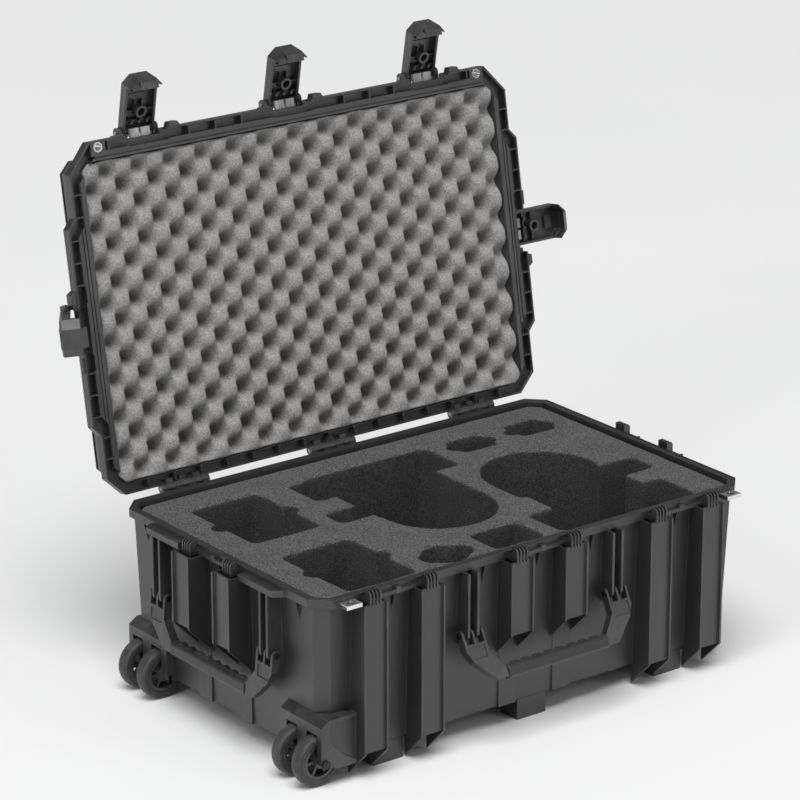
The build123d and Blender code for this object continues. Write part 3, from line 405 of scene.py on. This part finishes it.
# %% Soften a copy of a CAD solid
def applied_copy(node_name, piece_name, cell, rounds, unevenness=0.0):
    """A softened copy of a CAD node, rebuilt from even cells."""
    piece = bpy.data.objects.new(piece_name, nodes[node_name].data.copy())
    bpy.context.scene.collection.objects.link(piece)
    remesh = piece.modifiers.new("even_cells", "REMESH")
    remesh.mode = "VOXEL"
    remesh.voxel_size = cell
    smooth = piece.modifiers.new("round_edges", "SMOOTH")
    smooth.iterations = rounds
    smooth.factor = 0.5
    graph = bpy.context.evaluated_depsgraph_get()
    finished = bpy.data.meshes.new_from_object(piece.evaluated_get(graph))
    piece.modifiers.clear()
    piece.data = finished
    finished.materials.clear()
    for polygon in finished.polygons:
        polygon.use_smooth = True
    if unevenness:
        push_uneven(finished, unevenness)
    return piece


def push_uneven(mesh, amount):
    """Move points along their normals by a smooth wave of a few centimetres."""
    count = len(mesh.vertices)
    place = np.empty(count * 3)
    mesh.vertices.foreach_get("co", place)
    place = place.reshape(-1, 3)
    normal = np.empty(count * 3)
    mesh.vertices.foreach_get("normal", normal)
    normal = normal.reshape(-1, 3)
    wave = np.sin(place[:, 0] * 71 + 3.1 * np.sin(place[:, 2] * 39)) * np.sin(place[:, 1] * 63 + 2.0)
    wave += 0.6 * np.sin(place[:, 2] * 170 + place[:, 0] * 90) * np.sin(place[:, 1] * 140)
    place -= normal * (amount * (0.5 + 0.5 * wave))[:, None]
    mesh.vertices.foreach_set("co", place.ravel())
    mesh.update()


def dress(piece, material, body, slot, *replaced):
    """Finish a new piece, hang it on the body it moves with, and hide the CAD parts it replaces."""
    piece.data.materials.append(material)
    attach(piece, body)
    if replaced:
        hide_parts(*replaced)
    return piece


# %% [markdown]
# ## The base foam
#
# The base foam is a block of dense foam, cut right through its top with a blade
# or a water jet, so the bays have straight walls and slightly soft rims.  It is
# built from the CAD solid, which has every bay in its place.

# %% Base foam and the pad under it
base_foam = applied_copy("base_foam", "cut_base_foam", 0.0034, 2, 0.0005)
dress(base_foam, dense_foam, "base", "base_foam", "base_foam")
floor_pad = applied_copy("foam_floor_pad", "base_floor_pad", 0.006, 2, 0.0004)
dress(floor_pad, dense_foam, "base", "base_foam", "foam_floor_pad")
print("base foam faces", len(base_foam.data.polygons))

# %% [markdown]
# ## The egg-crate foam
#
# Egg-crate foam is cut from one block by squeezing it between bumpy rollers, so
# it has soft peaks and hollows in a square pattern that runs at 45 degrees.
# The product of two cosines gives that pattern, and its square makes the ridges
# broad and the hollows narrow.  Near the sides the hollows are shallower, because
# the sheet is squeezed there.  The grid is drawn flat in the closed lid and then
# turned with the lid about the hinge line.  A Displace modifier could do it too,
# but here the edges of the sheet, where the cut goes through peaks and hollows
# in turn, come out wavy as they should.

# %% Where the lid is
hinge_point = Vector(joints["lid_hinge"]["pos_m"])
opened = math.radians(joints["lid_hinge"]["range_deg"][1])
lid_turn = Matrix.Rotation(-opened, 4, "X")
to_open = Matrix.Translation(hinge_point) @ lid_turn @ Matrix.Translation(-hinge_point)
to_closed = to_open.inverted()
closed_points = [to_closed @ vertex.co for vertex in nodes["lid_foam"].data.vertices]
foam_low = Vector([min(p[i] for p in closed_points) for i in range(3)])
foam_high = Vector([max(p[i] for p in closed_points) for i in range(3)])
print("lid foam, closed", [round(v, 4) for v in foam_low], [round(v, 4) for v in foam_high])

# %% The egg-crate sheet
egg_pitch = 0.0535
egg_depth = 0.042
egg_shift = 0.031
egg_hollow = 2.0
egg_edge = 0.026
egg_edge_depth = 0.40
foam_corner = 0.009
foam_side_gap = 0.0015
side_lean = 0.007
side_steps = 6
columns = 300
rows = 188


def egg_height(x, y, to_side):
    """0 on the ridges and egg_depth in the hollows, which flatten out close to the sides."""
    wave = math.cos(2 * math.pi * (x - egg_shift) / egg_pitch) * math.cos(2 * math.pi * y / egg_pitch)
    flatten = min(1.0, to_side / egg_edge)
    depth = egg_depth * (egg_edge_depth + (1 - egg_edge_depth) * flatten * flatten * (3 - 2 * flatten))
    return depth * (0.5 - 0.5 * wave) ** egg_hollow


def outline_half(y, half_x, half_y):
    """Half the width of the sheet at y, with its corners cut off."""
    return half_x - max(0.0, abs(y) - (half_y - foam_corner))


def finished_piece(shape, name):
    """Turn a bmesh into an object; faces of four corners are shaded smooth."""
    mesh = bpy.data.meshes.new(name)
    shape.to_mesh(mesh)
    shape.free()
    for polygon in mesh.polygons:
        polygon.use_smooth = len(polygon.vertices) == 4
    piece = bpy.data.objects.new(name, mesh)
    bpy.context.scene.collection.objects.link(piece)
    return piece


def bumpy_grid(sheet, middle, half_x, half_y):
    """The surface that faces the equipment, as rows of points joined by faces."""
    grid = []
    for row in range(rows + 1):
        y = half_y * (2 * row / rows - 1)
        width = outline_half(y, half_x, half_y)
        line = []
        for column in range(columns + 1):
            x = width * (2 * column / columns - 1)
            to_side = min(width - abs(x), half_y - abs(y))
            z = foam_low.z + egg_height(x, y, to_side)
            line.append(sheet.verts.new((middle.x + x, middle.y + y, z)))
        grid.append(line)
    for line, after in zip(grid, grid[1:]):
        for column in range(columns):
            sheet.faces.new((line[column], after[column], after[column + 1], line[column + 1]))
    return grid


def egg_crate_sheet():
    """The whole sheet: the bumpy side, the sides that lean in, and the flat back."""
    middle = (foam_low + foam_high) / 2
    half_x = (foam_high.x - foam_low.x) / 2 - foam_side_gap
    half_y = (foam_high.y - foam_low.y) / 2 - foam_side_gap
    sheet = bmesh.new()
    grid = bumpy_grid(sheet, middle, half_x, half_y)
    rim = [grid[0][c] for c in range(columns + 1)]
    rim += [grid[r][columns] for r in range(1, rows + 1)]
    rim += [grid[rows][c] for c in range(columns - 1, -1, -1)]
    rim += [grid[r][0] for r in range(rows - 1, 0, -1)]
    rings = [rim]
    for step in range(1, side_steps + 1):
        share = step / side_steps
        ring = []
        for vertex in rim:
            inward = Vector((middle.x, middle.y, vertex.co.z)) - vertex.co
            z = vertex.co.z + (foam_high.z - vertex.co.z) * share
            lean = side_lean * share
            pull = Vector((math.copysign(lean, inward.x), math.copysign(lean, inward.y), 0))
            ring.append(sheet.verts.new((vertex.co.x + pull.x, vertex.co.y + pull.y, z)))
        rings.append(ring)
    count = len(rim)
    for ring_a, ring_b in zip(rings, rings[1:]):
        for i in range(count):
            j = (i + 1) % count
            sheet.faces.new((ring_a[i], ring_a[j], ring_b[j], ring_b[i]))
    sheet.faces.new(rings[-1])
    bmesh.ops.recalc_face_normals(sheet, faces=sheet.faces)
    bmesh.ops.transform(sheet, matrix=to_open, verts=sheet.verts)
    return finished_piece(sheet, "egg_crate_foam")


egg_foam = egg_crate_sheet()
dress(egg_foam, open_foam, "lid", "lid_foam", "lid_foam")
print("egg-crate faces", len(egg_foam.data.polygons))

# %% [markdown]
# ## Grips and tyres
#
# The handles have a soft grip moulded over a stiff core, with finger bumps on
# top and short cuts underneath.  The grips start from their CAD solids and are
# softened with a cell of under a millimetre, so that the bumps keep their shape.
# The tyres are soft too, and are turned from a profile instead.

# %% Grips
for place, body in (("front", "handle_front"), ("left_end", "handle_left_end")):
    grip = applied_copy("carry_grip_" + place, "soft_grip_" + place, 0.0009, 3)
    dress(grip, grip_black, body, "grip", "carry_grip_" + place)

# %% [markdown]
# A tyre on a case like this is a plain band with a slightly raised ring at each
# shoulder and a fine parting line round the middle.  A turned profile gives all
# three: a list of half-profile points swept round the axle.


# %% Tyres
tyre_steps = 96
tyre_band = 0.0114


def turned_tyre(node_name, piece_name):
    """A ring round the axle, swept from half a profile and its mirror image."""
    low, high = (Vector(corner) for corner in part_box(node_name))
    middle = (low + high) / 2
    outer = (high.x - low.x) / 2
    half = (high.y - low.y) / 2
    inner = outer - tyre_band
    profile = [
        (inner, -half + 0.0020),
        (inner + 0.0020, -half + 0.0006),
        (inner + 0.0052, -half),
        (inner + 0.0060, -half + 0.0007),
        (inner + 0.0068, -half),
        (outer - 0.0028, -half + 0.0014),
        (outer - 0.0010, -half + 0.0034),
        (outer - 0.0002, -half + 0.0060),
        (outer - 0.0006, -half + 0.0066),
        (outer - 0.0001, -half + 0.0072),
        (outer, -0.0006),
        (outer - 0.0003, 0.0),
    ]
    full = profile + [(radius, -y) for radius, y in reversed(profile[:-1])]
    tyre = bmesh.new()
    rings = []
    for step in range(tyre_steps):
        angle = 2 * math.pi * step / tyre_steps
        ring = [
            tyre.verts.new((middle.x + r * math.cos(angle), middle.y + y, middle.z + r * math.sin(angle)))
            for r, y in full
        ]
        rings.append(ring)
    for ring, after in zip(rings, rings[1:] + rings[:1]):
        for i in range(len(full)):
            j = (i + 1) % len(full)
            tyre.faces.new((ring[i], ring[j], after[j], after[i]))
    bmesh.ops.recalc_face_normals(tyre, faces=tyre.faces)
    return finished_piece(tyre, piece_name)


for wheel in ("front_1", "front_2", "back_1", "back_2"):
    tyre = turned_tyre("wheel_tyre_" + wheel, "soft_tyre_" + wheel)
    dress(tyre, tyre_grey, "wheel_" + wheel, "tyre", "wheel_tyre_" + wheel)
print("tyres and grips done")

# %% [markdown]
# ## Floor and light
#
# A pale paper floor runs far behind the case, so the whole background is one
# soft tone.  Black plastic shows mostly what it reflects: a big soft light
# above and to the left draws the highlights down the ribs, and a weaker one on
# the right keeps the front from going dead black.

# %% Floor
floor_mesh = bpy.data.meshes.new("paper_floor")
floor_shape = bmesh.new()
bmesh.ops.create_grid(floor_shape, x_segments=4, y_segments=4, size=30.0)
floor_shape.to_mesh(floor_mesh)
floor_shape.free()
floor = bpy.data.objects.new("paper_floor", floor_mesh)
bpy.context.scene.collection.objects.link(floor)
paper = Finish("paper")
paper_cloud = paper.noise(1.2, 2.0)
paper.set(
    Base_Color=paper.mix(paper.between(paper_cloud, 0.3, 0.7), (0.83, 0.835, 0.84, 1.0), grey(0.85)),
    Roughness=0.75,
)
floor.data.materials.append(paper.material)

# %% Lights
world = bpy.context.scene.world or bpy.data.worlds.new("studio")
bpy.context.scene.world = world
world.use_nodes = True
world.node_tree.nodes["Background"].inputs["Color"].default_value = (1.0, 1.0, 1.0, 1.0)
world.node_tree.nodes["Background"].inputs["Strength"].default_value = 0.20
bpy.context.scene.view_settings.view_transform = "Standard"


def aimed(data, place, aim=(0.0, 0.0, 0.25)):
    lamp = bpy.data.objects.new(data.name, data)
    bpy.context.scene.collection.objects.link(lamp)
    lamp.location = place
    lamp.rotation_mode = "QUATERNION"
    lamp.rotation_quaternion = (Vector(place) - Vector(aim)).to_track_quat("Z", "Y")
    return lamp


def softbox(name, place, size, power):
    data = bpy.data.lights.new(name, "AREA")
    data.shape = "RECTANGLE"
    data.size, data.size_y = size
    data.energy = power
    return aimed(data, place)


ceiling = bpy.data.lights.new("ceiling_panels", "SUN")
ceiling.energy = 2.62
ceiling.angle = math.radians(38)
aimed(ceiling, (-1.0, -1.15, 3.8))
softbox("left_softbox", (-3.4, -1.0, 2.2), (1.2, 2.2), 32)
softbox("front_softbox", (1.6, -3.6, 1.9), (1.8, 1.6), 24)
print("lights done")
